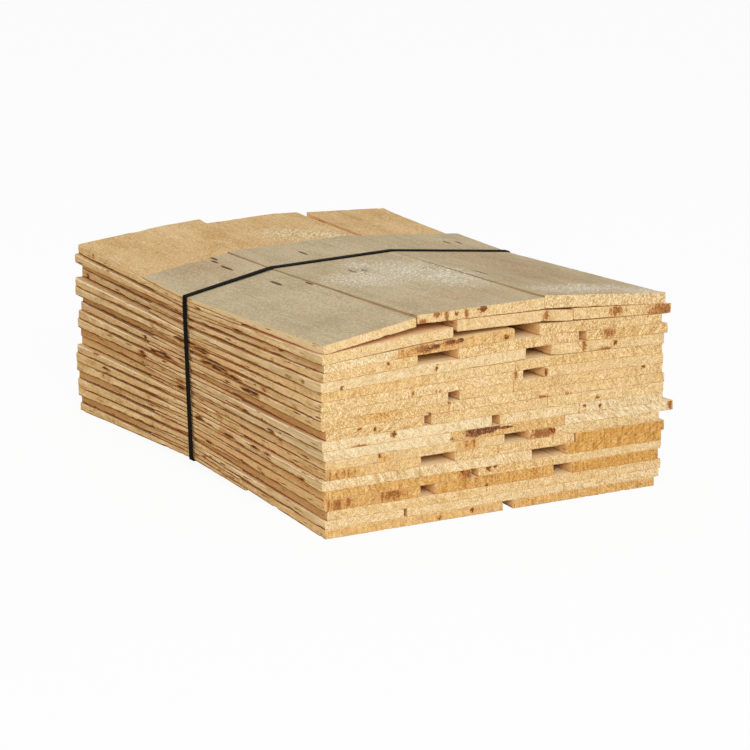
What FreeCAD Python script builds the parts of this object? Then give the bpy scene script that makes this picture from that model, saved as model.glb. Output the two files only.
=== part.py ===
# A strapped bundle of tapered wood shingles.
# X runs along the butt ends, Y runs along the shingles, Z is up.
# The origin lies on the floor, below the middle of the bundle.
import FreeCAD
import Part
import math
import os

os.makedirs("parts", exist_ok=True)

# One shingle: its length, and the share of its butt thickness that is left at the thin tip
shingle_length = 406.4
tip_share = 0.2225

# The bundle: two tiers lie butts outward and their tips overlap in the middle
tip_overlap = 235.8
bundle_width = 391.0
middle_shift = 3.6
layer_gap = 0.06
foot_length = 18.0
left_line = -1.5
thickest_butt = 10.2

# Butt thickness of each course at the left edge, from the floor up
course_thicknesses = [
    9.0, 8.8, 9.5, 10.9, 8.9, 10.2, 10.0, 9.3, 9.5, 10.2,
    9.9, 9.5, 9.2, 9.4, 9.1, 10.1, 9.0, 8.2, 9.6, 9.8,
]

# The crown: the pile rises toward a ridge, more so the higher the course
crown_height = 16.5
crown_growth = 3
first_bend = 100.0
first_bend_share = 0.58
ridge = 245.0
right_edge_share = 0.6

# The strap: it draws the waist in, partly from below, and its top leans back a little
strap_behind_middle = 7.5
strap_width = 10.0
strap_thickness = 0.8
strap_clearance = 0.5
strap_lean_degrees = 4.2
waist_from_below = 0.53

# Shingles of the front tier, from the floor up, each with its left and right edge.
# The last two courses lie tilted: they also have the lift of the left and right edge
# at the front end, at the strap and at the back end. A thick or thin butt comes last.
front_rows = [
    [(-0.5, 199.5), (211.0, bundle_width - 10.0)],
    [(-0.5, 87.0), (90.0, 271.0), (272.0, bundle_width - 4.0)],
    [(1.5, 180.0), (181.0, bundle_width - 2.0)],
    [(-1.5, 105.0), (121.0, 259.0), (279.5, bundle_width - 5.5)],
    [(-2.0, 163.0), (170.5, 261.0), (262.0, bundle_width - 2.0)],
    [(-4.0, 233.0), (274.0, bundle_width - 2.0)],
    [(0.3, 105.5), (143.5, 282.5), (285.0, bundle_width + 1.0)],
    [(-0.4, 200.5), (229.0, bundle_width - 5.0)],
    [(-2.0, 139.5), (140.5, 271.0), (272.0, bundle_width + 12.0)],
    [(-3.0, 186.5), (195.5, 288.0), (289.0, bundle_width - 1.0)],
    [(0.5, 109.0), (117.0, 250.0), (251.0, bundle_width - 1.0)],
    [(-4.2, 136.5), (137.5, 231.0), (232.0, bundle_width)],
    [(-4.4, 136.0), (148.5, 210.0), (211.0, bundle_width - 3.0)],
    [(-4.5, 94.5), (95.5, 221.0), (246.0, bundle_width - 2.0)],
    [(-3.8, 113.5), (114.5, 212.0), (213.0, bundle_width - 3.0)],
    [(-4.7, 224.0), (254.0, bundle_width - 1.0)],
    [(-2.2, 101.5), (146.5, 286.0), (295.0, bundle_width + 2.5)],
    [(-1.0, 80.5), (81.5, 211.0), (239.5, bundle_width - 5.0)],
    [(-3.2, 141.0, ((0.0, 2.0), (0.0, 1.0), (0.0, 0.5))),
     (145.0, 278.5, ((9.2, 2.8), (3.5, 1.5), (1.5, 0.6)), 11.4),
     (279.5, bundle_width + 6.0, ((2.6, 0.0), (0.5, 0.0), (0.3, 0.0)))],
    [(-0.8, 99.5, ((-0.6, 6.0), (0.4, 12.0), (0.1, 6.9)), 8.8),
     (100.5, 244.5, ((8.4, 3.6), (13.0, 11.1), (8.6, 5.9)), 8.9),
     (246.0, bundle_width - 0.5, ((5.6, 0.2), (11.1, 1.5), (5.9, 0.8)), 9.8)],
]

# Shingles of the back tier, written the same way.
back_rows = [
    [(-3.2, 118.0), (126.0, 268.0), (269.0, bundle_width - 4.0)],
    [(-1.3, 166.0), (174.0, bundle_width + 1.0)],
    [(-5.0, 94.0), (105.0, 238.0), (262.0, bundle_width - 2.0)],
    [(-5.4, 204.0), (205.0, 304.0), (305.0, bundle_width - 1.0)],
    [(-3.7, 133.0), (150.0, 287.0), (288.0, bundle_width - 5.0)],
    [(-6.4, 86.0), (101.0, 231.0), (232.0, bundle_width)],
    [(-6.6, 176.0), (177.0, bundle_width - 4.0)],
    [(-5.0, 121.0), (122.0, 263.0), (281.0, bundle_width + 1.0)],
    [(0.7, 214.0), (223.0, bundle_width - 2.0)],
    [(-0.6, 91.0), (101.0, 202.0), (214.0, bundle_width - 3.0)],
    [(-4.0, 153.0), (154.0, 295.0), (296.0, bundle_width)],
    [(-2.5, 112.0), (133.0, 246.0), (247.0, bundle_width - 5.0)],
    [(0.9, 190.0), (191.0, bundle_width - 1.0)],
    [(2.8, 84.0), (85.0, 222.0), (248.0, bundle_width - 2.0)],
    [(-6.0, 146.0), (163.0, 271.0), (272.0, bundle_width + 1.0)],
    [(-5.3, 231.0), (232.0, bundle_width - 4.0)],
    [(3.0, 117.0), (118.0, 209.0), (226.0, bundle_width - 1.0)],
    [(3.2, 172.0), (173.0, 301.0), (302.0, bundle_width - 3.0)],
    [(-5.2, 92.0), (108.0, 254.0), (255.0, bundle_width)],
    [(-1.2, 149.5, ((0.2, 6.4), (0.2, 8.5), (0.2, 4.9))),
     (151.5, 276.0, ((6.0, 2.2), (6.5, 7.0), (0.0, 0.0)), 8.6),
     (288.0, bundle_width, ((2.5, 0.3), (5.5, 0.3), (0.0, 0.0)), 8.0)],
]

bundle_length = 2 * shingle_length - tip_overlap
waist_line = bundle_length / 2 + strap_behind_middle
middle_from_left = bundle_width / 2 + middle_shift
pile_height = sum(course_thicknesses)
taper = (1 - tip_share) / shingle_length
waist_share = 2 - taper * bundle_length
waist_rise = waist_from_below * (1 - waist_share) * pile_height


def crown_share(x):
    """How much of the crown is felt this far from the left corner."""
    if x <= first_bend:
        return first_bend_share * x / first_bend
    if x <= ridge:
        return first_bend_share + (1 - first_bend_share) * (x - first_bend) / (ridge - first_bend)
    return 1 - (1 - right_edge_share) * (x - ridge) / (bundle_width - ridge)


def crowned(level, x):
    """Height of a level of the flat pile once the pile is crowned."""
    return level + crown_height * (level / pile_height) ** crown_growth * crown_share(x)


def squeeze(y):
    """Share of the height that is left, and rise of the underside, this far from the front."""
    if y <= waist_line:
        span = waist_line
        out = y
    else:
        span = bundle_length - waist_line
        out = bundle_length - y
    share = 1 - (1 - waist_share) * out / span
    rise = waist_rise * max(0.0, (out - foot_length) / (span - foot_length))
    return share, rise


class Shingle:
    """One tapered shingle of a course that lies between two levels."""

    def __init__(self, low, high, askew, left, right, lifts=None, thickest=thickest_butt):
        self.low = low
        self.high = high
        self.askew = askew
        self.left = left
        self.right = right
        self.lifts = lifts
        room = min(crowned(high, x) - crowned(low, x) for x in (left, right))
        self.butt = min(room - self.gaps * layer_gap, thickest)

    def thickness(self, y):
        return self.butt * (1 - taper * self.from_butt(y))

    def places(self, y):
        """Left edge, bends of the crown and right edge, this far from the front."""
        shift = self.askew * max(0.0, self.from_butt(y) - foot_length)
        tip_left = self.left + self.askew * (shingle_length - foot_length)
        bends = [x for x in (first_bend, ridge) if tip_left < x < self.right]
        return [self.left + shift] + bends + [self.right + shift]

    def lift(self, x, y):
        """How far a tilted shingle is raised here above its level."""
        if not self.lifts:
            return 0.0
        places = self.places(y)
        across = (x - places[0]) / (places[-1] - places[0])
        front_lift, waist_lift, back_lift = [
            left_lift + (right_lift - left_lift) * across for left_lift, right_lift in self.lifts]
        front_end, back_end = self.stations()[0], self.stations()[-1]
        if y <= waist_line:
            return front_lift + (waist_lift - front_lift) * (y - front_end) / (waist_line - front_end)
        return waist_lift + (back_lift - waist_lift) * (y - waist_line) / (back_end - waist_line)

    def profile(self, y):
        """Under and upper side across the width, this far from the front."""
        share, rise = squeeze(y)
        under = []
        upper = []
        for x in self.places(y):
            low, high = self.heights(x, y, share, rise)
            under.append((x - middle_from_left, low))
            upper.append((x - middle_from_left, high))
        return under, upper

    def solid(self):
        outlines = []
        for y in self.stations():
            under, upper = self.profile(y)
            ring = under + upper[::-1] + under[:1]
            outlines.append(Part.makePolygon(
                [FreeCAD.Vector(x, y - bundle_length / 2, z) for x, z in ring]))
        return Part.makeLoft(outlines, True, True)


class FrontShingle(Shingle):
    """Thick at the front; its upper side follows the level above it."""

    gaps = 1

    @staticmethod
    def from_butt(y):
        return y

    def stations(self):
        return 0.0, foot_length, waist_line, shingle_length

    def heights(self, x, y, share, rise):
        high = share * (crowned(self.high, x) + self.lift(x, y) - layer_gap) + rise
        return high - self.thickness(y), high


class BackShingle(Shingle):
    """Thick at the back; its underside follows the level below it."""

    gaps = 2

    @staticmethod
    def from_butt(y):
        return bundle_length - y

    def stations(self):
        return bundle_length - shingle_length, waist_line, bundle_length - foot_length, bundle_length

    def heights(self, x, y, share, rise):
        low = share * (crowned(self.low, x) + self.lift(x, y)) + rise
        return low, low + self.thickness(y)


def tier(kind, rows):
    """All courses of one tier, from the floor up.

    A course whose butts stick out at the left lies askew, so that it is in line at the strap."""
    courses = []
    low = 0.0
    for thickness, row in zip(course_thicknesses, rows):
        high = low + thickness
        askew = max(0.0, left_line - row[0][0]) / (kind.from_butt(waist_line) - foot_length)
        courses.append([kind(low, high, askew, *edges) for edges in row])
        low = high
    return courses


def outer_hull(points):
    """The points that a tight band round them all would touch, in order."""
    ordered = sorted(set(points))
    hull = []
    for run in (ordered, ordered[::-1]):
        side = []
        for p in run:
            while len(side) > 1:
                (ax, az), (bx, bz) = side[-2], side[-1]
                if (bx - ax) * (p[1] - az) - (bz - az) * (p[0] - ax) > 0:
                    break
                side.pop()
            side.append(p)
        hull += side[:-1]
    return hull


def strap(courses):
    """A band drawn tight round the waist."""
    points = []
    for course in courses:
        for shingle in course:
            under, upper = shingle.profile(waist_line)
            points += under + upper
    heights = [z for x, z in points]
    half_way_up = (min(heights) + max(heights)) / 2
    lean = math.tan(math.radians(strap_lean_degrees))
    front_side = waist_line - bundle_length / 2 - strap_width / 2
    ring = [FreeCAD.Vector(x, front_side + lean * (z - half_way_up), z) for x, z in outer_hull(points)]
    tight = Part.Face(Part.makePolygon(ring + ring[:1]))
    inside = tight.makeOffset2D(strap_clearance)
    outside = tight.makeOffset2D(strap_clearance + strap_thickness)
    return outside.cut(inside).extrude(FreeCAD.Vector(0, strap_width, 0))


def save(name, courses):
    for number, course in enumerate(courses, 1):
        solids = Part.makeCompound([shingle.solid() for shingle in course])
        solids.exportStep("parts/%s_course_%02d.step" % (name, number))


front_tier = tier(FrontShingle, front_rows)
back_tier = tier(BackShingle, back_rows)
save("front", front_tier)
save("back", back_tier)
strap(front_tier + back_tier).exportStep("parts/strap.step")
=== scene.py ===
"""A strapped bundle of wood shingles: rough sawn cedar, greyed on top, held by a black band."""
import itertools
import math

import bmesh
import bpy
import numpy as np
from mathutils import Matrix, Vector


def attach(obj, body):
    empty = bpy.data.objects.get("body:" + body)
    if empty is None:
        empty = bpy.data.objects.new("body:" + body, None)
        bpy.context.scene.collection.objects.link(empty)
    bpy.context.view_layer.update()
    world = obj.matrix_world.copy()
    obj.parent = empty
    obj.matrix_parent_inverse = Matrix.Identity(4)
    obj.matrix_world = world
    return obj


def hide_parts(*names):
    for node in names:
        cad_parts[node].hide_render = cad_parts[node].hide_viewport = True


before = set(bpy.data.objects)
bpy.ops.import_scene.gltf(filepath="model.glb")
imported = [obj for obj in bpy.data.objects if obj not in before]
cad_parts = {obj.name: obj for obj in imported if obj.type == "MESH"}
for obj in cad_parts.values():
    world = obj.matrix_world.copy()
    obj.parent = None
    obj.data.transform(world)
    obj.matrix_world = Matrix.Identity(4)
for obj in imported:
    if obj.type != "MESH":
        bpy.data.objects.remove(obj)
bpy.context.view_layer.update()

# The bundle in the frame, in millimetres: its left front corner, and the line of the strap
MM = 0.001
LEFT_CORNER = -199.1
FRONT_END = -288.5
STRAP_LINE = 7.5
FOOT = 18.0

# The pile: courses in a tier, and the lowest front course whose upper side is on view
COURSES = 20
FIRST_ON_VIEW = 19

# How finely a shingle is cut up, in millimetres, and how much finer in the last courses
ARRIS = 0.8
COLUMN_STEP = 2.2
STATION_STEP = 6.0
FINE_COLUMN_STEP = 1.6
FINE_STATION_STEP = 4.0
ROWS = np.array([0.0, 0.09, 0.3, 0.5, 0.7, 0.91, 1.0])

# Kinds of faces of a shingle
FLAT, END_GRAIN, LONG_EDGE = 0, 1, 2

# How the shingles lie, in millimetres: joints up to the first width close to the second, butts
# settle on the course below but stay clear of it, and hidden tips are cut short by chance
NARROW_JOINT = 1.6
CLOSED_JOINT = 0.16
SETTLE = 0.9
LAID_CLEAR = 0.03
SHORT_TIP = 24

# How the wood is worn, in millimetres: how far from an end or a side the wear reaches
END_REACH = 14
TIP_REACH = 90
SIDE_REACH = 10
CHIP_REACH = 3

# The strap as shown, as a share of the frame's width
STRAP_SHOWN = 0.87

# Camera, in metres and degrees: it looks at the bundle's left front corner from a little above
PHOTO_PIXELS = 750
FOCAL_PIXELS = 2732.94
SENSOR_MM = 36.0
AZIMUTH = math.radians(-29.5)
ELEVATION = math.radians(13.63)
DISTANCE = 2.943
ASIDE = 0.0190
ABOVE = 0.0752
FRAME_SHIFT = -0.0041

# Lamps of the studio: name, direction, distance and size in metres, and power in watts
LAMPS = [
    ("front_lamp", (-0.28, -0.86, 0.46), 4.0, 1.8, 86),
    ("top_lamp", (0.0, -0.15, 1.0), 3.5, 2.6, 12),
    ("side_lamp", (-1.0, 0.15, 0.5), 4.0, 2.2, 9),
]
FLOOR_HALF = 9

# How orange and how pale the butts of the front courses are, from the floor up, left to right
BUTT_TONES = [
    [(0.45, 0.00), (0.70, 0.00)],
    [(0.10, 0.45), (0.10, 0.45), (0.10, 0.40)],
    [(0.15, 0.20), (0.20, 0.25)],
    [(0.75, 0.00), (0.85, 0.00), (1.10, 0.00)],
    [(0.75, 0.00), (0.35, 0.10), (0.15, 0.30)],
    [(0.10, 0.50), (1.05, 0.00)],
    [(0.35, 0.05), (0.30, 0.15), (1.20, 0.00)],
    [(0.20, 0.20), (0.20, 0.30)],
    [(0.05, 0.80), (0.50, 0.00), (0.05, 0.75)],
    [(0.05, 0.75), (0.10, 0.45), (0.10, 0.60)],
    [(0.30, 0.10), (0.25, 0.15), (0.20, 0.20)],
    [(0.35, 0.10), (0.20, 0.20), (0.25, 0.15)],
    [(0.20, 0.20), (0.25, 0.15), (0.30, 0.10)],
    [(0.20, 0.15), (0.15, 0.20), (0.20, 0.25)],
    [(0.35, 0.00), (0.20, 0.20), (0.30, 0.10)],
    [(0.08, 0.50), (0.20, 0.25)],
    [(0.25, 0.15), (0.30, 0.10), (0.40, 0.05)],
    [(0.05, 0.55), (0.55, 0.00), (0.30, 0.15)],
    [(0.12, 0.30), (0.20, 0.35), (0.28, 0.28)],
    [(0.10, 0.30), (0.20, 0.35), (0.22, 0.45)],
]

# Butts of the front courses that are cut cleaner than most: course, place from the left, roughness
CUT_CLEAN = {
    (20, 0): 0.25, (20, 1): 0.55, (19, 0): 0.35, (19, 1): 0.35, (18, 0): 0.5, (17, 0): 0.6,
    (16, 0): 0.45, (15, 0): 0.45, (13, 1): 0.6, (10, 0): 0.3, (9, 0): 0.35, (9, 2): 0.35,
    (8, 0): 0.5, (7, 2): 0.3, (6, 1): 0.3, (5, 0): 0.4, (5, 2): 0.5, (4, 0): 0.4,
    (4, 1): 0.4, (4, 2): 0.4, (3, 0): 0.55, (2, 0): 0.5, (2, 1): 0.5,
}

# Marks on the front butts: course, kind, from the left, half width, height share, half height share
BUTT_MARKS = [
    (20, "knot", 174, 8, 0.75, 0.50),
    (20, "knot", 144, 3, 0.60, 0.35),
    (20, "stain", 133, 2.5, 0.50, 0.90),
    (20, "stain", 107, 5, 0.15, 0.30),
    (20, "stain", 123, 4, 0.80, 0.40),
    (20, "stain", 155, 3, 0.40, 0.60),
    (19, "stain", 247, 4, 0.45, 0.60),
    (19, "stain", 330, 10, 0.60, 0.50),
    (19, "stain", 386, 16, 0.40, 1.30),
    (18, "bark", 112, 4, 0.45, 0.22),
    (18, "bark", 121, 5, 0.60, 0.26),
    (18, "bark", 138, 5, 0.80, 0.22),
    (18, "bark", 149, 4, 0.80, 0.22),
    (18, "stain", 108, 14, 0.60, 0.48),
    (18, "stain", 138, 13, 0.75, 0.38),
    (18, "orange", 88, 12, 0.40, 0.80),
    (18, "knot", 201, 5, 0.35, 0.35),
    (17, "knot", 68, 3, 0.75, 0.30),
    (17, "stain", 321, 9, 0.60, 0.50),
    (16, "knot", 122, 2.5, 0.50, 0.40),
    (16, "stain", 293, 3, 0.60, 0.90),
    (16, "knot", 330, 3.5, 0.55, 0.40),
    (16, "stain", 318, 8, 0.10, 0.18),
    (16, "knot", 18, 2.5, 0.25, 0.30),
    (14, "knot", 96, 2.5, 0.40, 0.30),
    (14, "knot", 122, 2.5, 0.20, 0.25),
    (14, "knot", 127, 2.5, 0.18, 0.25),
    (14, "stain", 212, 2, 0.80, 0.90),
    (14, "knot", 247, 4, 0.55, 0.60),
    (13, "knot", 364, 3.5, 0.90, 0.40),
    (12, "knot", 137, 3, 0.90, 0.30),
    (12, "knot", 115, 3, 0.15, 0.30),
    (12, "orange", 60, 30, 0.70, 0.80),
    (12, "stain", 276, 5, 0.14, 0.14),
    (12, "stain", 242, 10, 0.05, 0.22),
    (11, "knot", 37, 3, 0.70, 0.30),
    (11, "knot", 54, 2.5, 0.45, 0.35),
    (11, "knot", 309, 4, 0.35, 0.25),
    (10, "knot", 75, 4.5, 0.70, 0.50),
    (10, "knot", 294, 3, 0.67, 0.28),
    (10, "knot", 313, 3, 0.52, 0.28),
    (10, "stain", 37, 12, 0.06, 0.14),
    (9, "bark", 166, 11, 0.70, 0.55),
    (9, "bark", 177, 9, 0.75, 0.42),
    (9, "bark", 190, 6, 0.85, 0.20),
    (9, "bark", 202, 9, 0.70, 0.16),
    (9, "bark", 186, 5, 0.45, 0.14),
    (9, "knot", 140, 3, 0.36, 0.30),
    (9, "stain", 399, 4, 0.50, 0.80),
    (8, "orange", 160, 14, 0.60, 1.00),
    (8, "stain", 156, 1.5, 0.60, 0.70),
    (8, "stain", 165, 1.5, 0.65, 0.70),
    (8, "knot", 59, 3, 0.86, 0.50),
    (8, "orange", 64, 7, 0.40, 0.60),
    (8, "stain", 243, 14, 0.60, 0.80),
    (8, "knot", 256, 6, 0.64, 0.50),
    (7, "stain", 5, 1.5, 0.45, 0.80),
    (7, "stain", 12, 1.6, 0.50, 0.80),
    (7, "stain", 20, 1.5, 0.55, 0.60),
    (7, "stain", 25, 1.8, 0.60, 0.70),
    (7, "stain", 32, 1.5, 0.60, 0.50),
    (7, "orange", 20, 30, 0.50, 1.00),
    (5, "knot", 153, 4, 0.83, 0.40),
    (5, "stain", 157, 8, 0.60, 0.80),
    (5, "knot", 182, 5, 0.90, 0.60),
    (5, "knot", 190, 3, 0.95, 0.30),
    (4, "stain", 13, 6, 0.48, 0.90),
    (4, "stain", 3, 1.5, 0.50, 0.90),
    (4, "stain", 24, 4, 0.60, 0.70),
    (4, "stain", 73, 15, 0.65, 0.60),
    (4, "knot", 180, 3, 0.10, 0.30),
    (1, "knot", 163, 3, 0.64, 0.50),
    (1, "knot", 126, 3, 0.33, 0.40),
]

# How far a butt of the last front courses sinks to the course below, at its left and right ends
SETTLED = {
    (20, 0): (0.0, 0.0), (20, 1): (0.0, 2.7), (20, 2): (3.4, 2.2),
    (19, 1): (1.4, 1.4), (19, 2): (1.4, 1.8),
}

# How far the upper side of a front butt lies above the frame's, from its left end to its right end
RAISED = {
    (18, 1): (0.0, 1.6), (18, 2): (1.6, 0.8),
    (19, 0): (0.0, -0.5, -0.3), (19, 1): (-0.8, -1.7),
}

# Butts of the front courses with deep saw marks: course and place from the left, and depth
SAWN_DEEP = {
    (18, 2): 0.8, (17, 2): 1.0, (12, 0): 0.6, (11, 0): 0.9,
    (9, 2): 0.8, (6, 0): 0.8, (6, 1): 0.8, (3, 0): 0.5,
}

# Marks on the left side: kind, from the front, half length, height, half height
SIDE_MARKS = [
    ("knot", 278, 12, 133, 4.0),
    ("knot", 260, 12, 131, 3.5),
    ("knot", 252, 14, 122, 3.5),
    ("knot", 230, 16, 121, 3.5),
    ("knot", 213, 13, 119, 3.5),
    ("knot", 190, 12, 118, 3.0),
    ("knot", 162, 13, 114, 3.0),
    ("knot", 142, 9, 113, 2.5),
    ("knot", 124, 6, 122, 2.5),
    ("knot", 216, 8, 58, 2.5),
    ("knot", 202, 10, 56, 2.5),
    ("knot", 142, 12, 57, 2.0),
    ("knot", 119, 8, 57, 2.0),
    ("knot", 252, 8, 38, 2.0),
    ("knot", 273, 10, 58, 2.5),
    ("knot", 180, 18, 90, 2.5),
    ("knot", 385, 10, 107, 2.5),
    ("knot", 360, 22, 108, 2.5),
    ("knot", 410, 10, 99, 3.0),
    ("knot", 318, 9, 88, 2.5),
    ("knot", 318, 9, 80, 2.5),
    ("knot", 316, 10, 133, 2.5),
    ("knot", 300, 10, 134, 2.5),
    ("knot", 326, 5, 161, 2.5),
    ("knot", 184, 12, 168, 2.5),
    ("knot", 45, 8, 50, 2.0),
    ("orange", 235, 60, 122, 12.0),
    ("orange", 370, 60, 106, 10.0),
]

# Marks on the upper sides of the last courses: node, kind, from the left, half width, from the
# front, half length
TOP_MARKS = [
    ("front_course_20", "split", 80, 2.2, 398, 13),
    ("front_course_20", "split", 75, 2.2, 386, 11),
    ("front_course_20", "split", 72.7, 2.6, 352, 19),
    ("front_course_20", "split", 77.9, 2.4, 249, 19),
    ("front_course_20", "split", 97.5, 2.0, 214, 12),
    ("front_course_20", "split", 163, 2.4, 350, 14),
    ("front_course_20", "split", 159, 2.2, 234, 13),
    ("front_course_20", "split", 171.3, 2.4, 231, 9),
    ("front_course_20", "split", 346, 2.4, 356, 10),
    ("front_course_20", "split", 360, 2.4, 353, 10),
    ("front_course_20", "split", 264.6, 1.8, 153, 22),
    ("front_course_20", "scuff", 150, 36, 190, 40),
    ("front_course_20", "scuff", 205, 36, 205, 52),
    ("front_course_20", "scuff", 224, 30, 160, 60),
    ("front_course_20", "scuff", 178, 14, 255, 20),
    ("front_course_20", "scuff", 378, 34, 12, 30),
    ("front_course_20", "scuff", 315, 50, 45, 26),
    ("front_course_20", "orange", 325, 55, 170, 170),
    ("front_course_20", "orange", 184, 62, 62, 42),
    ("front_course_20", "orange", 62, 40, 372, 50),
    ("back_course_20", "scuff", 205, 24, 482, 34),
    ("back_course_20", "scuff", 224, 26, 464, 30),
    ("back_course_20", "scuff", 245, 22, 450, 26),
    ("back_course_20", "orange", 215, 40, 530, 40),
    ("back_course_20", "orange", 60, 40, 470, 50),
]


def noise(seed, *places):
    """A smooth random value from 0 to 1 that changes over a distance of about one."""
    places = np.broadcast_arrays(*[np.asarray(p, float) for p in places])
    cells = [np.floor(p) for p in places]
    parts = [p - c for p, c in zip(places, cells)]
    parts = [p * p * (3 - 2 * p) for p in parts]
    total = np.zeros(places[0].shape)
    for corner in itertools.product((0, 1), repeat=len(places)):
        key = np.full(total.shape, seed * 7919 + 17, np.uint32)
        weight = np.ones(total.shape)
        for cell, part, step in zip(cells, parts, corner):
            key = (key ^ (cell + step).astype(np.int64).astype(np.uint32)) * np.uint32(2654435761)
            key = key ^ (key >> np.uint32(15))
            weight = weight * (part if step else 1 - part)
        key = (key * np.uint32(2246822519)) ^ (key >> np.uint32(13))
        total += weight * key / 4294967295.0
    return total


def chips(seed, place, spacing, share, depth):
    """Torn spots along an arris: mostly none, here and there as deep as given."""
    worn = noise(seed, place / spacing)
    return depth * np.clip((worn - 1 + share) / share, 0, 1)


class Board:
    """One shingle as the frame has it: stations from its butt, each with its under and upper side."""

    def __init__(self, points, front, seed):
        self.front = front
        self.seed = seed
        self.butt = points[:, 1].min() if front else points[:, 1].max()
        self.away = 1 if front else -1
        reach = np.abs(points[:, 1] - self.butt)
        self.length = reach.max()
        self.strap = abs(STRAP_LINE - self.butt)
        self.stations = np.array([0.0, FOOT, self.strap, self.length])
        self.places, self.under, self.upper = [], [], []
        for station in self.stations:
            ring = points[np.abs(reach - station) < 0.02]
            ring = ring[np.lexsort((ring[:, 2], np.round(ring[:, 0], 2)))]
            self.places.append(ring[::2, 0])
            self.under.append(ring[::2, 2])
            self.upper.append(ring[1::2, 2])
        self.places, self.under, self.upper = [
            np.array(table) for table in (self.places, self.under, self.upper)]

    def spread(self, table, across, along):
        """A table of stations and places, read at every column and station of the grid."""
        lines = np.array([np.interp(along, self.stations, line) for line in table.T])
        first = np.minimum(across.astype(int), len(lines) - 2)
        share = (across - first)[:, None]
        return lines[first] * (1 - share) + lines[first + 1] * share

    def columns(self, step):
        """Places across the board where its grid has a column; whole numbers are its edges and bends."""
        widths = np.diff(self.places[0])
        marks = [np.linspace(n, n + 1, max(2, round(w / step)) + 1) for n, w in enumerate(widths)]
        edges = [[ARRIS / widths[0]], [len(widths) - ARRIS / widths[-1]]]
        return np.unique(np.round(np.concatenate(marks + edges), 6))

    def rows_along(self, step):
        """Distances from the butt where the grid has a station."""
        steps = np.arange(ARRIS + 2.2 + step, self.length - 2, step)
        kept = [s for s in steps if min(abs(s - FOOT), abs(s - self.strap)) > 1.5]
        return np.array(sorted([0, ARRIS, 3.0, FOOT, self.strap, self.length - ARRIS, self.length] + kept))


def boards_of(node, first_seed):
    """The shingles of one course, left to right."""
    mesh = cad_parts[node].data
    points = np.array([v.co for v in mesh.vertices]) / MM
    spots, which = np.unique(np.round(points, 2), axis=0, return_inverse=True)
    which = which.ravel()
    joined = list(range(len(spots)))

    def root(n):
        while joined[n] != n:
            n = joined[n]
        return n

    for face in mesh.polygons:
        corners = [root(which[v]) for v in face.vertices]
        for corner in corners:
            joined[root(corner)] = root(corners[0])
    owner = np.array([root(n) for n in range(len(spots))])
    groups = sorted((spots[owner == n] for n in set(owner.tolist())), key=lambda g: g[:, 0].min())
    front, course = node.startswith("front"), int(node[-2:])
    boards = [Board(g, front, first_seed + n) for n, g in enumerate(groups)]
    for number, board in enumerate(boards if front else []):
        rise = RAISED.get((course, number), (0.0, 0.0))
        ends = [np.linspace(0, 1, n) for n in (board.upper.shape[1], len(rise))]
        board.upper[:2] += np.interp(*ends, rise)
    return boards


def close_up(boards, below):
    """Boards side by side come close, and a butt settles on the course below it."""
    for left, right in zip(boards[:-1], boards[1:]):
        gap = right.places[:, 0] - left.places[:, -1]
        if gap[0] < NARROW_JOINT:
            left.places[:, -1] += (gap - CLOSED_JOINT) / 2
            right.places[:, 0] -= (gap - CLOSED_JOINT) / 2
    for board, station in itertools.product(boards if below else [], (0, 1)):
        line = np.concatenate([b.places[station] for b in below])
        level = np.concatenate([b.upper[station] for b in below])
        room = board.under[station] - np.interp(board.places[station], line, level) - LAID_CLEAR
        place = np.linspace(0, 1, len(room))
        sink = np.clip(room, 0, np.interp(place, (0, 1), board.settle))
        board.under[station] -= sink * (1 - board.stations[station] / board.strap)


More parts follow.
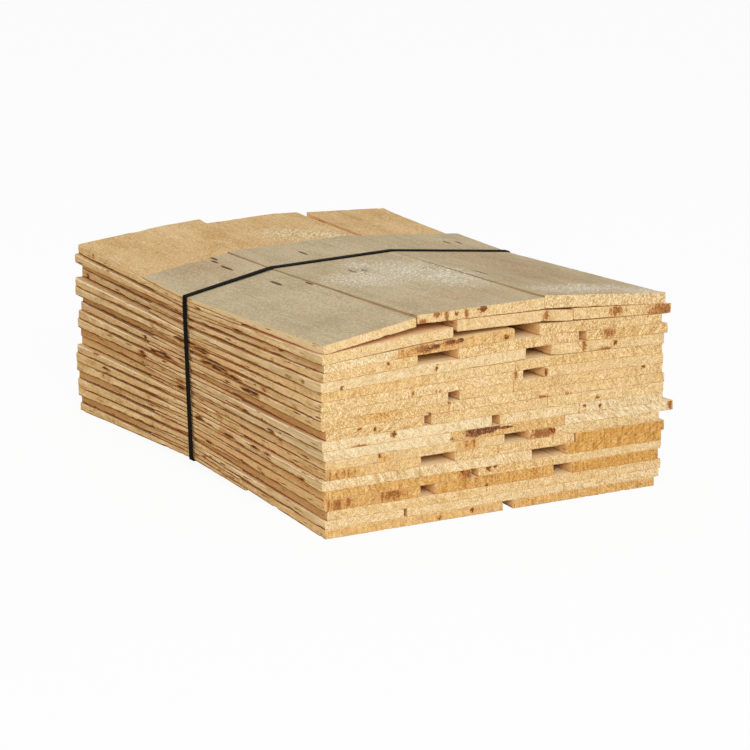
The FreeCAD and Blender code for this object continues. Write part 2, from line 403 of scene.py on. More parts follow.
def rough_sawn(board, x, low, high, along, set_back, cut_short, wander):
    """Points of the board's grid, worn inward from the planes of the frame: column, row, station."""
    seed = board.seed * 40
    share = ROWS[None, :, None]
    thickness = (high - low)[:, None, :]
    px = np.repeat(x[:, None, :], len(ROWS), 1)
    pz = low[:, None, :] + share * thickness
    py = np.broadcast_to(along, px.shape).copy()

    # Butt and tip: set back, a little out of square, with saw marks and torn fibres
    from_tip = board.length - along
    fade_butt = np.clip(1 - along / END_REACH, 0, 1)[None, None, :]
    fade_tip = np.clip(1 - from_tip / END_REACH, 0, 1)[None, None, :]
    bx, bz = px[:, :, :1], pz[:, :, :1]
    lean = 0.6 + 1.2 * noise(seed + 1, [0.5])[0]
    saw = noise(seed + 2, (bx + lean * bz) / 1.7, bx / 40)
    worn = set_back + 0.35 * noise(seed + 3, bx / 45, bz / 15)
    worn = worn + 0.3 * saw + 0.25 * noise(seed + 4, bx / 3, bz / 3)
    py += worn * fade_butt
    tx = px[:, :, -1:]
    py -= (0.7 * noise(seed + 5, tx / 22) + 0.5 * noise(seed + 6, tx / 4)) * fade_tip
    py -= cut_short * np.clip(1 - from_tip / TIP_REACH, 0, 1)[None, None, :]

    # Long sides: split along the grain, so they wander
    for edge, side, way in ((0, 7, 1), (-1, 11, -1)):
        fade = np.clip(1 - np.abs(x - x[edge]) / SIDE_REACH, 0, 1)[:, None, :]
        bow = 0.5 * noise(seed + side, along / 70) + 0.25 * noise(seed + side + 1, along / 16)
        bow = (bow + 1.2 * noise(seed + side + 3, [0.5])[0]) * np.clip(along / 50, 0, 1)
        torn = 0.25 * noise(seed + side + 2, along[None, None, :] / 9, share * 4)
        px += way * fade * wander * (bow[None, None, :] + torn)

    # Upper and under side: gently uneven
    dip = 0.18 * noise(seed + 15, x / 28, along[None, :] / 95)
    dip = dip + 0.08 * noise(seed + 16, x / 5, along[None, :] / 40)
    dip = dip * np.clip(along / 30, 0, 1)
    pz -= dip[:, None, :] * share * 0.6
    pz += dip[:, None, :] * (1 - share) * 0.3

    # Arrises: eased all round, chipped at the butt and splintered along the sides
    limit = np.minimum(1, thickness / 6)
    for row, near_row, way in ((-1, share, -1), (0, 1 - share, 1)):
        close = np.clip(1 - (1 - near_row) * thickness / CHIP_REACH, 0, 1)
        number = 17 if row else 23
        chip = chips(seed + number, x[:, :1], 3.2, 0.16, 0.4)
        chip = chip + chips(seed + number + 1, x[:, :1], 11, 0.16, 0.8)
        fade = np.clip(1 - along / 4, 0, 1)[None, None, :] * close
        py += chip[:, None, :] * 0.8 * fade
        pz += way * chip[:, None, :] * 0.7 * fade
        ease = 0.015 + 0.11 * noise(seed + number + 2, x / 9, along[None, :] / 20) ** 2
        pz[:, row, 0] += way * ease[:, 0]
        py[:, row, 0] += ease[:, 0]
        pz[:, row, -1] += way * ease[:, -1] * limit[:, 0, -1]
        py[:, row, -1] -= ease[:, -1]
        for edge, inward in ((0, 1), (-1, -1)):
            splinter = chips(seed + number + 3 + edge, along, 7, 0.25, 0.9)
            splinter = splinter[None, None, :] * limit * wander ** 0.5
            across = np.clip(1 - np.abs(x - x[edge]) / CHIP_REACH, 0, 1)[:, None, :] * close
            px += inward * splinter * 0.8 * across
            pz += way * splinter * 0.6 * across
            px[edge, row] += inward * ease[edge] * limit[edge, 0]
            pz[edge, row, 1:-1] += way * (ease[edge] * limit[edge, 0])[1:-1]
    for edge, inward in ((0, 1), (-1, -1)):
        corner = 0.1 + (0.3 if edge == 0 else 1.5) * noise(seed + 30 + edge, ROWS * 5) ** 2
        px[edge, :, 0] += inward * corner
        py[edge, :, 0] += corner
    return px, board.butt + board.away * py, pz


def quads(ids):
    """Faces of a grid of corners; the two directions of the grid give the side that they look to."""
    return np.stack([ids[:-1, :-1], ids[1:, :-1], ids[1:, 1:], ids[:-1, 1:]], -1).reshape(-1, 4)


def hidden_side(ids, bends, stops):
    """A side that lies on the next course: a narrow rim of small faces, and large ones inside it."""
    last, end = ids.shape[0] - 1, ids.shape[1] - 1
    rim = [quads(ids[:2]), quads(ids[-2:]), quads(ids[1:last, :3]), quads(ids[1:last, end - 1:])]
    inner = []
    across = [1] + bends + [last - 1]
    along = [2] + stops + [end - 1]
    for a, b in zip(across[:-1], across[1:]):
        for c, d in zip(along[:-1], along[1:]):
            near = list(range(a, b + 1)) if c == 2 else [a, b]
            far = list(range(a, b + 1)) if d == end - 1 else [a, b]
            right = list(range(c, d + 1)) if b == last - 1 else [c, d]
            left = list(range(c, d + 1)) if a == 1 else [c, d]
            loop = [ids[n, c] for n in near] + [ids[b, n] for n in right[1:]]
            loop += [ids[n, d] for n in far[::-1][1:]] + [ids[a, n] for n in left[::-1][1:-1]]
            inner.append([int(n) for n in loop])
    return np.concatenate(rim), inner


FIELDS = ("knot", "bark", "orange", "pale", "stain", "scuff", "split", "saw", "lean",
          "rough", "fresh", "below_crest", "above_foot", "sheltered")


def paint(fields, node, course, board, points, masks):
    """Marks of the wood, as fields that fall off from the middle of each mark."""
    x, y, z, share = points
    from_left, from_front = x - LEFT_CORNER, y - FRONT_END
    on_butt, on_left, on_top = masks

    def lay(kind, where, value):
        fields[kind] = np.where(where, np.maximum(fields[kind], np.clip(value, 0, 1)), fields[kind])

    if board.front:
        for number, kind, place, half, height, half_height in BUTT_MARKS:
            if number == course:
                wide = 1.15 if kind == "knot" else 1.6
                far = np.hypot((from_left - place) / (wide * half), (share - height) / (wide * half_height))
                lay(kind, on_butt, 1 - far)
    for kind, place, half, height, half_height in SIDE_MARKS:
        far = np.hypot((from_front - place) / (1.6 * half), (z - height) / (1.6 * half_height))
        lay(kind, on_left, 1.35 * (1 - far))
    for name, kind, place, half, distance, half_length in TOP_MARKS:
        if name == node:
            far = np.hypot((from_left - place) / (1.6 * half), (from_front - distance) / (1.6 * half_length))
            lay(kind, on_top, 1 - far)


def chance_knots(fields, board, rng, points, on_butt, on_side):
    """A few small knots where no mark was listed."""
    x, y, _, share = points
    left, right = x.min(), x.max()
    ends = 0 if board.front else rng.integers(0, 3)
    for count, where in ((ends, on_butt), (rng.integers(0, 3), on_side)):
        for _ in range(count):
            if where is on_butt:
                far = np.hypot((x - rng.uniform(left, right)) / rng.uniform(2.5, 5.5),
                               (share - rng.random()) / 0.5)
            else:
                middle = board.butt + board.away * rng.uniform(10, board.length - 60)
                far = np.hypot((y - middle) / rng.uniform(5, 16),
                               (share - rng.random()) / rng.uniform(0.4, 0.8))
                far = far + (1 if rng.random() < 0.5 else 0) * (x < (left + right) / 2) * 2
            knot = np.maximum(fields["knot"], np.clip(0.85 - far, 0, 1))
            fields["knot"] = np.where(where, knot, fields["knot"])


def shell(ids, board, across, along, open_top):
    """Faces of a shingle's grid: small ones, their kinds, and the large ones of its hidden sides."""
    caps = [quads(ids[:, :, 0]), quads(ids[:, :, -1].T)]
    sides = [quads(ids[0]), quads(ids[-1].T)]
    large = []
    if open_top:
        flats = [quads(ids[:, -1]), quads(ids[:, 0].T)]
    else:
        bends = [int(np.argmin(np.abs(across - n))) for n in range(1, board.places.shape[1] - 1)]
        stops = [int(np.argmin(np.abs(along - s))) for s in (FOOT, board.strap)]
        upper_rim, upper_large = hidden_side(ids[:, -1], bends, stops)
        under_rim, under_large = hidden_side(ids[:, 0], bends, stops)
        flats = [upper_rim, under_rim[:, ::-1]]
        large = upper_large + [loop[::-1] for loop in under_large]
    small = np.concatenate(caps + sides + flats)
    sizes = [sum(map(len, group)) for group in (caps, sides, flats)]
    kinds = np.repeat([END_GRAIN, LONG_EDGE, FLAT], sizes)
    if not board.front:
        small = small[:, ::-1]
        large = [loop[::-1] for loop in large]
    return small, kinds, large


def course_piece(node, course, wood):
    """All shingles of one course as one piece of rough sawn wood, which stands for its node."""
    front = node.startswith("front")
    last_course = course == COURSES
    on_view = front and last_course
    open_top = last_course or front and course >= FIRST_ON_VIEW
    corners, faces, flags, shifts = [], [], [], []
    marks = {name: [] for name in FIELDS}
    count = 0
    boards = boards_of(node, (course * 2 + front) * 10)
    for number, board in enumerate(boards):
        board.settle = SETTLED.get((course, number), (SETTLE, SETTLE))
    close_up(boards, boards_of("front_course_%02d" % (course - 1), 0) if front and course > 1 else [])
    over = boards if last_course else boards_of(node[:-2] + "%02d" % (course + 1), 0)
    for number, board in enumerate(boards):
        rng = np.random.default_rng(board.seed + 5)
        across = board.columns(FINE_COLUMN_STEP if on_view else COLUMN_STEP)
        along = board.rows_along(FINE_STATION_STEP if last_course else STATION_STEP)
        x, low, high = [board.spread(t, across, along) for t in (board.places, board.under, board.upper)]
        set_back = max(0.0, rng.uniform(-1.2, 1.0))
        cut_short = 0.0 if on_view else rng.uniform(0, SHORT_TIP)
        wander = 0.12 if last_course else 1.0
        px, py, pz = rough_sawn(board, x, low, high, along, set_back, cut_short, wander)
        small, kinds, large = shell(np.arange(px.size).reshape(px.shape), board, across, along, open_top)
        used = np.unique(np.concatenate([small.ravel()] + [np.array(loop) for loop in large]))
        renamed = np.full(px.size, -1)
        renamed[used] = np.arange(len(used)) + count
        faces += renamed[small].tolist() + [renamed[loop].tolist() for loop in large]
        flags += kinds.tolist() + [FLAT] * len(large)

        # Where each corner lies on its shingle
        column, row, station = np.unravel_index(used, px.shape)
        points = (px.ravel()[used], py.ravel()[used], pz.ravel()[used], ROWS[row])
        last = px.shape[0] - 1
        on_left, on_right = column == 0, column == last
        on_butt, on_side, on_top = station == 0, on_left | on_right, row == len(ROWS) - 1
        first_board, last_board = number == 0, number == len(boards) - 1
        inner = on_left & (not first_board) | on_right & (not last_board)
        rim = (column < 2) & first_board | (column > last - 2) & last_board

        # Fields of the wood at each corner, with those for painted light and shade
        fields = {name: np.zeros(len(used)) for name in FIELDS}
        chance_knots(fields, board, rng, points, on_butt, on_side)
        paint(fields, node, course, board, points, (on_butt, on_left, on_top))
        if front:
            orange, pale = BUTT_TONES[course - 1][number]
        else:
            orange, pale = rng.uniform(0, 0.7) ** 1.5, rng.uniform(0, 0.4)
        fields["orange"] = np.maximum(fields["orange"], orange)
        fields["pale"] = np.maximum(fields["pale"], pale)
        fields["stain"] = np.where(inner & on_view, 0.7, fields["stain"])
        saw = rng.uniform(0, 0.35 if front else 0.8)
        fields["saw"] += SAWN_DEEP.get((course, number), saw) if front else saw
        fields["lean"] += rng.choice((-1, 1)) * rng.uniform(0.5, 1.6)
        rough = rng.uniform(0.6 if front else 0.3, 1.0)
        fields["rough"] += CUT_CLEAN.get((course, number), rough) if front else rough
        # Painted light: a pale colour on the hidden faces of the lower front courses, weaker at the outer
        # rims, and on the inner sides of the last back course, lifting the shade in slots and joints
        fields["fresh"] += np.where(rim, 0.4 * (front & ~on_side), float(front and not last_course))
        fields["fresh"] = np.where(inner & (last_course and not front), 1.0, fields["fresh"])
        # How far the course above overhangs each outer side, which sets the painted shade under it
        left = np.interp(along, board.stations, board.places[:, 0] - over[0].places[:, 0])
        right = np.interp(along, board.stations, over[-1].places[:, -1] - board.places[:, -1])
        shelter = np.where(on_left, left[station], right[station])
        fields["sheltered"] += np.where(on_side & ~inner, shelter, 0.0)
        thickness = (high - low)[column, station]
        fields["below_crest"] += (1 - ROWS[row]) * thickness
        fields["above_foot"] += ROWS[row] * thickness
        for name in FIELDS:
            marks[name].append(fields[name])
        shifts.append(np.tile(rng.uniform(-40, 40, 3), (len(used), 1)))
        corners.append(np.stack(points[:3], 1) * MM)
        count += len(used)

    mesh = bpy.data.meshes.new(node + "_wood")
    mesh.from_pydata(np.concatenate(corners).tolist(), [], faces)
    for name in FIELDS:
        layer = mesh.attributes.new(name, "FLOAT", "POINT")
        layer.data.foreach_set("value", np.concatenate(marks[name]).astype(np.float32))
    layer = mesh.attributes.new("grain_shift", "FLOAT_VECTOR", "POINT")
    layer.data.foreach_set("vector", np.concatenate(shifts).astype(np.float32).ravel())
    for kind, name in ((END_GRAIN, "end_face"), (LONG_EDGE, "side_face")):
        layer = mesh.attributes.new(name, "FLOAT", "FACE")
        layer.data.foreach_set("value", (np.array(flags) == kind).astype(np.float32))
    mesh.update()
    mesh.materials.append(wood)
    piece = bpy.data.objects.new(node + "_wood", mesh)
    bpy.context.scene.collection.objects.link(piece)
    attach(piece, "root")
    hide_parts(node)


class Value:
    """A socket of some node, for use in expressions."""

    def __init__(self, nodes, socket):
        self.nodes = nodes
        self.socket = socket

    def math(self, operation, *others):
        return self.nodes.node("ShaderNodeMath", {"operation": operation}, dict(enumerate((self,) + others)))

    def __add__(self, other):
        return self.math("ADD", other)

    def __mul__(self, other):
        return self.math("MULTIPLY", other)

    def __sub__(self, other):
        return self.math("SUBTRACT", other)

    def __rsub__(self, other):
        return self.nodes.node("ShaderNodeMath", {"operation": "SUBTRACT"}, {0: other, 1: self})

    __radd__ = __add__
    __rmul__ = __mul__

    def step(self, low, high):
        """Nothing below low, all above high, and a soft change between."""
        return self.nodes.node("ShaderNodeMapRange", {"interpolation_type": "SMOOTHSTEP"},
                                {"Value": self, "From Min": low, "From Max": high})


class Nodes:
    """The nodes of a material or of the room's light."""

    def __init__(self, owner):
        self.owner = owner
        owner.use_nodes = True
        self.tree = owner.node_tree

    def feed(self, socket, value):
        if isinstance(value, Value):
            self.tree.links.new(value.socket, socket)
        elif socket.type == "RGBA" and len(value) == 3:
            socket.default_value = (*value, 1)
        else:
            socket.default_value = value

    def node(self, kind, settings, sockets, output=0):
        node = self.tree.nodes.new(kind)
        for name, value in settings.items():
            if name == "stops":
                ramp = node.color_ramp.elements
                while len(ramp) < len(value):
                    ramp.new(0.5)
                for stop, (place, colour) in zip(ramp, value):
                    stop.position = place
                    stop.color = (*colour, 1)
            else:
                setattr(node, name, value)
        for name, value in sockets.items():
            self.feed(node.inputs[name], value)
        return Value(self, node.outputs[output])

    def attribute(self, name, output="Fac"):
        return self.node("ShaderNodeAttribute", {"attribute_name": name}, {}, output)

    def mix(self, share, first, second):
        return self.node("ShaderNodeMix", {"data_type": "RGBA"}, {0: share, 6: first, 7: second}, 2)

    def ramp(self, value, stops):
        return self.node("ShaderNodeValToRGB", {"stops": stops}, {0: value})

    def figure(self, place, stretch, shift, detail=2.0):
        """Noise in the wood; the stretch is in repeats per metre."""
        spot = self.node("ShaderNodeVectorMath", {"operation": "MULTIPLY_ADD"},
                         {0: place, 1: stretch, 2: shift})
        return self.node("ShaderNodeTexNoise", {}, {"Vector": spot, "Scale": 1.0, "Detail": detail})

    def seen_directly(self):
        """Whether the eye, a reflection or a view through glass looks at it."""
        camera, glossy, through = [
            self.node("ShaderNodeLightPath", {}, {}, "Is %s Ray" % kind)
            for kind in ("Camera", "Glossy", "Transmission")]
        return camera.math("MAXIMUM", glossy).math("MAXIMUM", through)


def finish(name, fixed):
    """A new material: its nodes, and the inputs of its Principled shader with the fixed ones set."""
    nodes = Nodes(bpy.data.materials.new(name))
    inputs = nodes.tree.nodes["Principled BSDF"].inputs
    for socket, value in fixed.items():
        inputs[socket].default_value = value
    return nodes, inputs


def cedar(name, weathered):
    """Rough sawn cedar: speckled butts, fibrous edges and grained faces, greyed by weather or not."""
    f, shader = finish(name, {"Specular IOR Level": 0.08})
    place = f.node("ShaderNodeTexCoord", {}, {}, "Object")
    x = f.node("ShaderNodeSeparateXYZ", {}, {0: place}, "X")
    y = f.node("ShaderNodeSeparateXYZ", {}, {0: place}, "Y")
    z = f.node("ShaderNodeSeparateXYZ", {}, {0: place}, "Z")
    shift = f.attribute("grain_shift", "Vector")
    orange, pale, stain, knot, bark = [f.attribute(n) for n in ("orange", "pale", "stain", "knot", "bark")]
    scuff, split, saw, lean = [f.attribute(n) for n in ("scuff", "split", "saw", "lean")]
    rough, fresh, sheltered = [f.attribute(n) for n in ("rough", "fresh", "sheltered")]
    crest, foot = f.attribute("below_crest"), f.attribute("above_foot")
    end, side = f.attribute("end_face"), f.attribute("side_face")

    # Faces: lines along the grain, finer fibres, saw grain and slow patches; undersides have not
    # weathered; hidden faces get a pale painted light, and deep in the open slots a dark red
    # painted shade
    lines = f.figure(place, (170, 5, 60), shift, 3)
    fibres = f.figure(place, (800, 45, 200), shift, 2)
    grains = f.figure(place, (600, 260, 300), shift, 2)
    patches = f.figure(place, (40, 22, 20), shift, 3)
    clouds = f.figure(place, (16, 8, 10), shift, 2)
    figure = lines * 0.14 + fibres * 0.12 + grains * 0.54 + patches * 0.25 + (clouds - 0.5) * 0.2
    if weathered:
        face = f.ramp(figure, [
            (0.40, (0.465, 0.368, 0.22)), (0.525, (0.585, 0.472, 0.294)), (0.64, (0.705, 0.585, 0.39))])
        face = f.mix(orange + patches.step(0.5, 0.7) * 0.3, face, f.ramp(figure, [
            (0.40, (0.40, 0.277, 0.141)), (0.525, (0.523, 0.382, 0.223)), (0.64, (0.63, 0.489, 0.302))]))
        under = 1 - foot.step(0.05, 0.3)
        face = f.mix(under, face, (1.0, 0.62, 0.30))
    else:
        face = f.ramp(figure, [
            (0.40, (0.56, 0.33, 0.12)), (0.525, (0.745, 0.49, 0.232)), (0.64, (0.89, 0.64, 0.35))])
        face = f.mix(orange * patches.step(0.4, 0.65) * 0.5, face, (0.60, 0.36, 0.14))
        # Painted light: a pale colour on hidden faces, so the open slots look lit deep inside
        face = f.mix(fresh, face, f.ramp(figure, [
            (0.42, (0.90, 0.66, 0.38)), (0.53, (1.0, 0.80, 0.50)), (0.64, (1.0, 0.88, 0.62))]))
        # Painted shade: from 8 mm behind the front end, deeper in the slots, the pale hidden faces turn dark
        # red
        deep = (y - FRONT_END * MM).step(0.008, 0.06) * (0.0 - y).step(0.0, 0.1)
        face = f.mix(fresh * deep * 0.75, face, (0.74, 0.30, 0.09))

    # Butts: short speckled end grain, growth rings as upright streaks, and saw marks
    turned = f.node("ShaderNodeCombineXYZ", {}, {"X": x + z * lean, "Z": z - x * lean})
    speck = f.figure(turned, (560, 1, 260), shift, 3)
    fuzz = f.figure(place, (1150, 300, 1150), shift, 1)
    rings = f.figure(place, (420, 20, 50), shift, 2)
    broad = f.figure(place, (60, 20, 150), shift, 2)
    mottle = f.figure(place, (210, 40, 230), shift, 2)
    strokes = f.figure(turned, (300, 1, 40), shift, 2)
    grit = speck * 0.28 + fuzz * 0.42 + mottle * 0.14 + rings * 0.10 + broad * 0.06
    grit = (grit - 0.5) * (0.5 + rough * 0.95) + 0.5 + (strokes - 0.5) * (0.1 + saw * 0.36)
    butt = f.ramp(grit, [
        (0.35, (0.46, 0.24, 0.075)), (0.44, (0.69, 0.45, 0.18)), (0.51, (0.785, 0.55, 0.245)),
        (0.56, (0.87, 0.66, 0.33)), (0.62, (0.99, 0.83, 0.49))])
    butt = f.mix(broad.step(0.48, 0.66) * 0.45, butt, f.ramp(grit, [
        (0.38, (0.56, 0.34, 0.17)), (0.60, (0.97, 0.75, 0.51))]))
    butt = f.mix(pale, butt, f.ramp(grit, [
        (0.40, (0.57, 0.38, 0.185)), (0.50, (0.81, 0.66, 0.405)), (0.60, (0.965, 0.885, 0.66))]))
    butt = f.mix(orange * (broad * 1.1 + 0.5), butt, f.ramp(rings * 0.22 + grit * 0.8, [
        (0.42, (0.38, 0.15, 0.028)), (0.52, (0.64, 0.335, 0.085)), (0.62, (0.84, 0.52, 0.18))]))
    butt = f.mix(fuzz.step(0.60, 0.68) * rough * (0.5 - orange * 0.25), butt, (1.0, 0.92, 0.64))
    ticks = f.figure(place, (900, 100, 420), shift, 1)
    butt = f.mix(ticks.step(0.66, 0.72) * 0.6, butt, (0.48, 0.26, 0.09))
    crumb = f.figure(place, (430, 200, 430), shift, 2)
    smear = stain + (crumb - 0.5) * 1.1 + (rings - 0.5) * 1.5 + (strokes - 0.5) * 0.9
    butt = f.mix(smear.step(0.18, 0.50) * 0.75, butt, f.ramp(grit, [
        (0.42, (0.42, 0.17, 0.04)), (0.54, (0.78, 0.44, 0.165)), (0.64, (1.0, 0.84, 0.55))]))
    core = (smear + (fuzz - 0.5) * 1.2).step(0.48, 0.64)
    butt = f.mix(core * 0.85, butt, f.ramp(fuzz, [(0.42, (0.15, 0.04, 0.010)), (0.6, (0.42, 0.15, 0.035))]))
    # Painted shade: a dark red-brown line along the foot of each butt, where it sits on the course below
    shade = (0.7 - foot + (mottle - 0.5) * 3.6).step(0.2, 0.8)
    butt = f.mix(shade * 0.72, butt, (0.42, 0.18, 0.045))

    # Edges: fibres along the length, short dark splits, stains; painted shade under overhangs and
    # at each board's foot, and a painted highlight along each crest
    threads = f.figure(place, (120, 14, 720), shift, 3)
    blotch = f.figure(place, (60, 30, 130), shift, 2)
    tufts = f.figure(place, (300, 160, 520), shift, 2)
    cross = f.figure(f.node("ShaderNodeCombineXYZ", {}, {"X": y + z * lean, "Z": z}), (240, 1, 50), shift, 2)
    edge = f.ramp(threads * 0.24 + blotch * 0.42 + cross * 0.2 + tufts * 0.14, [
        (0.38, (0.55, 0.31, 0.105)), (0.46, (0.71, 0.45, 0.18)),
        (0.53, (0.82, 0.55, 0.24)), (0.62, (1.0, 0.74, 0.40))])
    edge = f.mix(pale * 0.9, edge, f.ramp(threads, [
        (0.38, (0.57, 0.405, 0.19)), (0.60, (0.83, 0.645, 0.37))]))
    edge = f.mix(orange * blotch.step(0.40, 0.58) * 0.8, edge, (0.72, 0.36, 0.13))
    # Painted shade: orange-brown on an outer side where the course above overhangs it, strongest near its
    # top
    overhang_shade = (sheltered * 1.6 - crest * 0.3 + (blotch - 0.5) * 1.5).step(0.0, 3.0)
    edge = f.mix(overhang_shade * 0.6, edge, (0.51, 0.215, 0.05))
    # Painted light: a paler colour on sides that get painted light
    edge = f.mix(fresh * 0.7, edge, (0.96, 0.62, 0.31))
    # Painted shade: a soft red-brown towards the foot of each side and a dark line at its foot, both weaker
    # where there is painted light
    soft = (1 - foot * 0.5 + (blotch - 0.5) * 2.0).step(0.1, 1.0)
    edge = f.mix(soft * (0.6 - fresh * 0.4), edge, (0.45, 0.165, 0.03))
    shaded = (1.25 - foot + (blotch - 0.5) * 3.4 + (threads - 0.5) * 2.2).step(0.2, 0.6)
    edge = f.mix(shaded * (0.92 - fresh * 0.6), edge, (0.25, 0.05, 0.003))
    if weathered:
        edge = f.mix(0.6, edge, (0.88, 0.63, 0.33))
    else:
        # Painted highlight: a pale line along the crest of each side, weaker under an overhang
        crest_highlight = 0.55 - sheltered * 0.25 - crest + (blotch - 0.5) * 3.0 + (threads - 0.5) * 1.2
        edge = f.mix(crest_highlight.step(0.2, 0.6) * 0.95, edge, (1.0, 0.80, 0.54))
    edge = f.mix(stain * 0.75, edge, (0.20, 0.09, 0.035))
    dashes = f.figure(place, (90, 22, 560), shift, 1)
    edge = f.mix(dashes.step(0.725, 0.755) * 0.9, edge, (0.14, 0.04, 0.008))

    # Marks: knots, bark, splits along the grain and pale scuffing
    colour = f.mix(end, f.mix(side, face, edge), butt)
    splinter = f.figure(place, (90, 40, 520), shift, 2)
    torn = knot * (1 - side * 0.3) + end * (crumb - 0.5) * 1.5 + side * (splinter - 0.5) * 2.6
    heart = torn.step(0.40, 0.48)
    tint = knot.step(0.05, 0.55) * (0.5 + side * 0.25)
    colour = f.mix(tint, colour, (0.54, 0.235, 0.06))
    pith = f.mix(side, (0.15, 0.045, 0.012), (0.055, 0.014, 0.003))
    colour = f.mix(heart * 0.92, colour, f.mix(torn.step(0.45, 0.7), (0.36, 0.12, 0.02), pith))
    flake = (bark + (crumb - 0.5) * 0.9).step(0.32, 0.40)
    colour = f.mix(flake * 0.95, colour, f.ramp(fuzz * 0.5 + crumb * 0.5, [
        (0.40, (0.06, 0.02, 0.012)), (0.51, (0.19, 0.06, 0.028)),
        (0.57, (0.30, 0.10, 0.04)), (0.63, (0.70, 0.40, 0.18))]))
    crack = (split + (fibres - 0.5) * 0.5).step(0.40, 0.58)
    colour = f.mix(crack * 0.88, colour, (0.11, 0.045, 0.02))
    dust = (grains * 0.45 + fuzz * 0.55 + scuff * 0.12).step(0.59, 0.65) * scuff.step(0.03, 0.4)
    colour = f.mix(dust * 0.86, colour, (0.93, 0.87, 0.72) if weathered else (1.0, 0.88, 0.60))
    colour = f.mix(scuff.step(0.0, 0.6) * (0.08 if weathered else 0.02), colour, (0.86, 0.82, 0.70))
    f.feed(shader["Base Color"], colour)

    # Feel: torn end grain is rough, faces are smoother along the grain
    f.feed(shader["Roughness"], 0.74 + fibres * 0.16 + crack * 0.1)
    face_relief = lines * 0.3 + fibres * 0.3 + grains * 0.3 + side * (threads * 0.6 + tufts * 0.4)
    butt_relief = (fuzz * 0.7 + speck * 0.3) * rough + strokes * saw
    relief = end * butt_relief + (1 - end) * face_relief - crack * 0.8 - flake * crumb * 0.6 - heart * 0.3
    bump = f.node("ShaderNodeBump", {}, {"Strength": 0.6, "Distance": 0.001, "Height": relief})
    f.feed(shader["Normal"], bump)
    return f.owner


def strap_band():
    """The black band: the frame's own shape with softly rounded edges, in fine ribbed plastic."""
    f, shader = finish("black_strap", {"Specular IOR Level": 0.01})
    place = f.node("ShaderNodeTexCoord", {}, {}, "Object")
    none = (0.0, 0.0, 0.0)
    ribs = f.figure(place, (300, 2600, 300), none, 1)
    wear = f.figure(place, (60, 400, 60), none, 3)
    dust = wear.step(0.52, 0.75)
    f.feed(shader["Base Color"], f.mix(dust * 0.4, (0.006, 0.0045, 0.003), (0.026, 0.02, 0.012)))
    f.feed(shader["Roughness"], 0.45 + ribs * 0.15 + dust * 0.2)
    bump = f.node("ShaderNodeBump", {}, {"Strength": 0.35, "Distance": 0.0004, "Height": ribs + wear * 0.3})
    f.feed(shader["Normal"], bump)

    form = bmesh.new()
    form.from_mesh(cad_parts["strap"].data)
    bmesh.ops.remove_doubles(form, verts=form.verts, dist=0.00001)
    bmesh.ops.dissolve_limit(form, angle_limit=math.radians(1), verts=form.verts, edges=form.edges)
    sharp = [e for e in form.edges if e.calc_face_angle(0) > math.radians(60)]
    bmesh.ops.bevel(form, geom=sharp, offset=0.00025, segments=2, profile=0.5, affect="EDGES")
    middle = Matrix.Translation((0, -STRAP_LINE * MM, 0))
    bmesh.ops.scale(form, vec=(1, STRAP_SHOWN, 1), verts=form.verts, space=middle)
    bmesh.ops.recalc_face_normals(form, faces=form.faces)
    mesh = bpy.data.meshes.new("strap_band")
    form.to_mesh(mesh)
    form.free()
    mesh.materials.append(f.owner)
    piece = bpy.data.objects.new("strap_band", mesh)
    bpy.context.scene.collection.objects.link(piece)
    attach(piece, "root")
    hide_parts("strap")


def add_camera():
    """The camera of the photograph."""
    back = Vector((math.sin(AZIMUTH) * math.cos(ELEVATION), -math.cos(AZIMUTH) * math.cos(ELEVATION),
                   math.sin(ELEVATION)))
    right = Vector((math.cos(AZIMUTH), math.sin(AZIMUTH), 0))
    up = back.cross(right)
    data = bpy.data.cameras.new("camera")
    data.sensor_width = SENSOR_MM
    data.lens = SENSOR_MM * FOCAL_PIXELS / PHOTO_PIXELS
    camera = bpy.data.objects.new("camera", data)
    bpy.context.scene.collection.objects.link(camera)
    place = back * DISTANCE + right * ASIDE + up * ABOVE + Vector((FRAME_SHIFT, 0, 0))
    camera.matrix_world = Matrix((
        (right.x, up.x, back.x, place.x),
        (right.y, up.y, back.y, place.y),
        (right.z, up.z, back.z, place.z),
        (0, 0, 0, 1)))
    bpy.context.scene.camera = camera


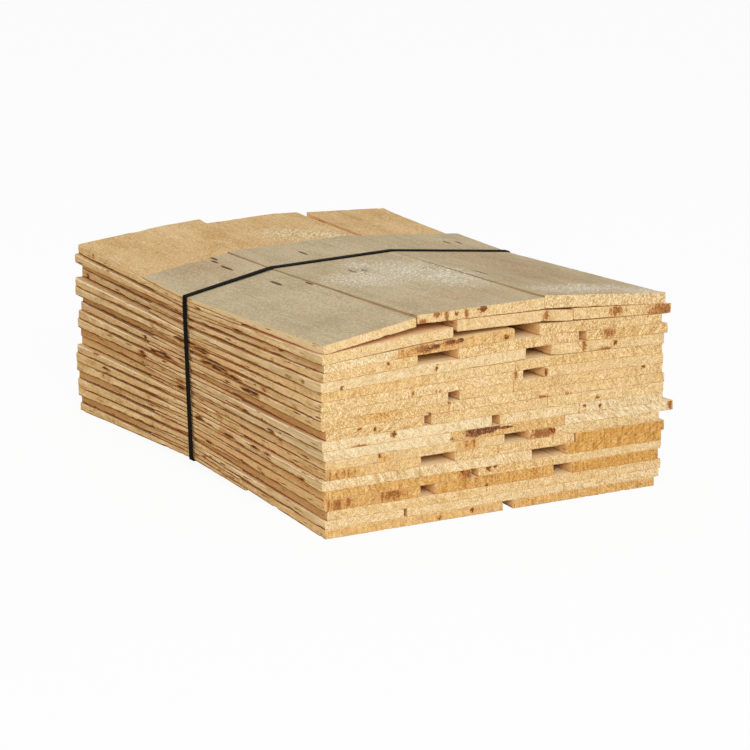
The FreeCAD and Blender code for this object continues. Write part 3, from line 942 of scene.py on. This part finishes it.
def add_studio():
    """A white room: soft light all round, a large lamp in front, weak ones above and at the left."""
    world = bpy.data.worlds.new("white_room")
    bpy.context.scene.world = world
    room = Nodes(world)
    light = room.node("ShaderNodeBackground", {}, {"Color": (0.97, 0.985, 1.0), "Strength": 0.5})
    white = room.node("ShaderNodeBackground", {}, {"Color": (1.0, 1.0, 1.0)})
    both = room.node("ShaderNodeMixShader", {}, {0: room.seen_directly(), 1: light, 2: white})
    room.feed(room.tree.nodes["World Output"].inputs[0], both)

    for name, direction, distance, size, power in LAMPS:
        lamp = bpy.data.lights.new(name, "AREA")
        lamp.shape = "DISK"
        lamp.size = size
        lamp.energy = power
        lamp.color = (1.0, 0.985, 0.96)
        holder = bpy.data.objects.new(name, lamp)
        bpy.context.scene.collection.objects.link(holder)
        towards = Vector(direction).normalized()
        holder.location = towards * distance + Vector((0, 0, 0.1))
        holder.rotation_euler = towards.to_track_quat("Z", "Y").to_euler()

    mesh = bpy.data.meshes.new("floor")
    far = FLOOR_HALF
    mesh.from_pydata([(-far, -far, 0), (far, -far, 0), (far, far, 0), (-far, far, 0)], [], [(0, 1, 2, 3)])
    paper = Nodes(bpy.data.materials.new("white_paper"))
    paper.tree.nodes.remove(paper.tree.nodes["Principled BSDF"])
    matt = paper.node("ShaderNodeBsdfDiffuse", {}, {"Color": (0.82, 0.82, 0.82)})
    glow = paper.node("ShaderNodeEmission", {}, {"Color": (1.0, 1.0, 1.0)})
    both = paper.node("ShaderNodeMixShader", {}, {0: paper.seen_directly() * 0.94, 1: matt, 2: glow})
    paper.feed(paper.tree.nodes["Material Output"].inputs[0], both)
    mesh.materials.append(paper.owner)
    floor = bpy.data.objects.new("floor", mesh)
    bpy.context.scene.collection.objects.link(floor)


sawn = cedar("sawn_cedar", False)
greyed = cedar("weathered_cedar", True)
for tier, course in itertools.product(("front", "back"), range(1, COURSES + 1)):
    on_show = tier == "front" and course == COURSES
    course_piece("%s_course_%02d" % (tier, course), course, greyed if on_show else sawn)
strap_band()
add_studio()
add_camera()
bpy.context.scene.view_settings.view_transform = "Standard"
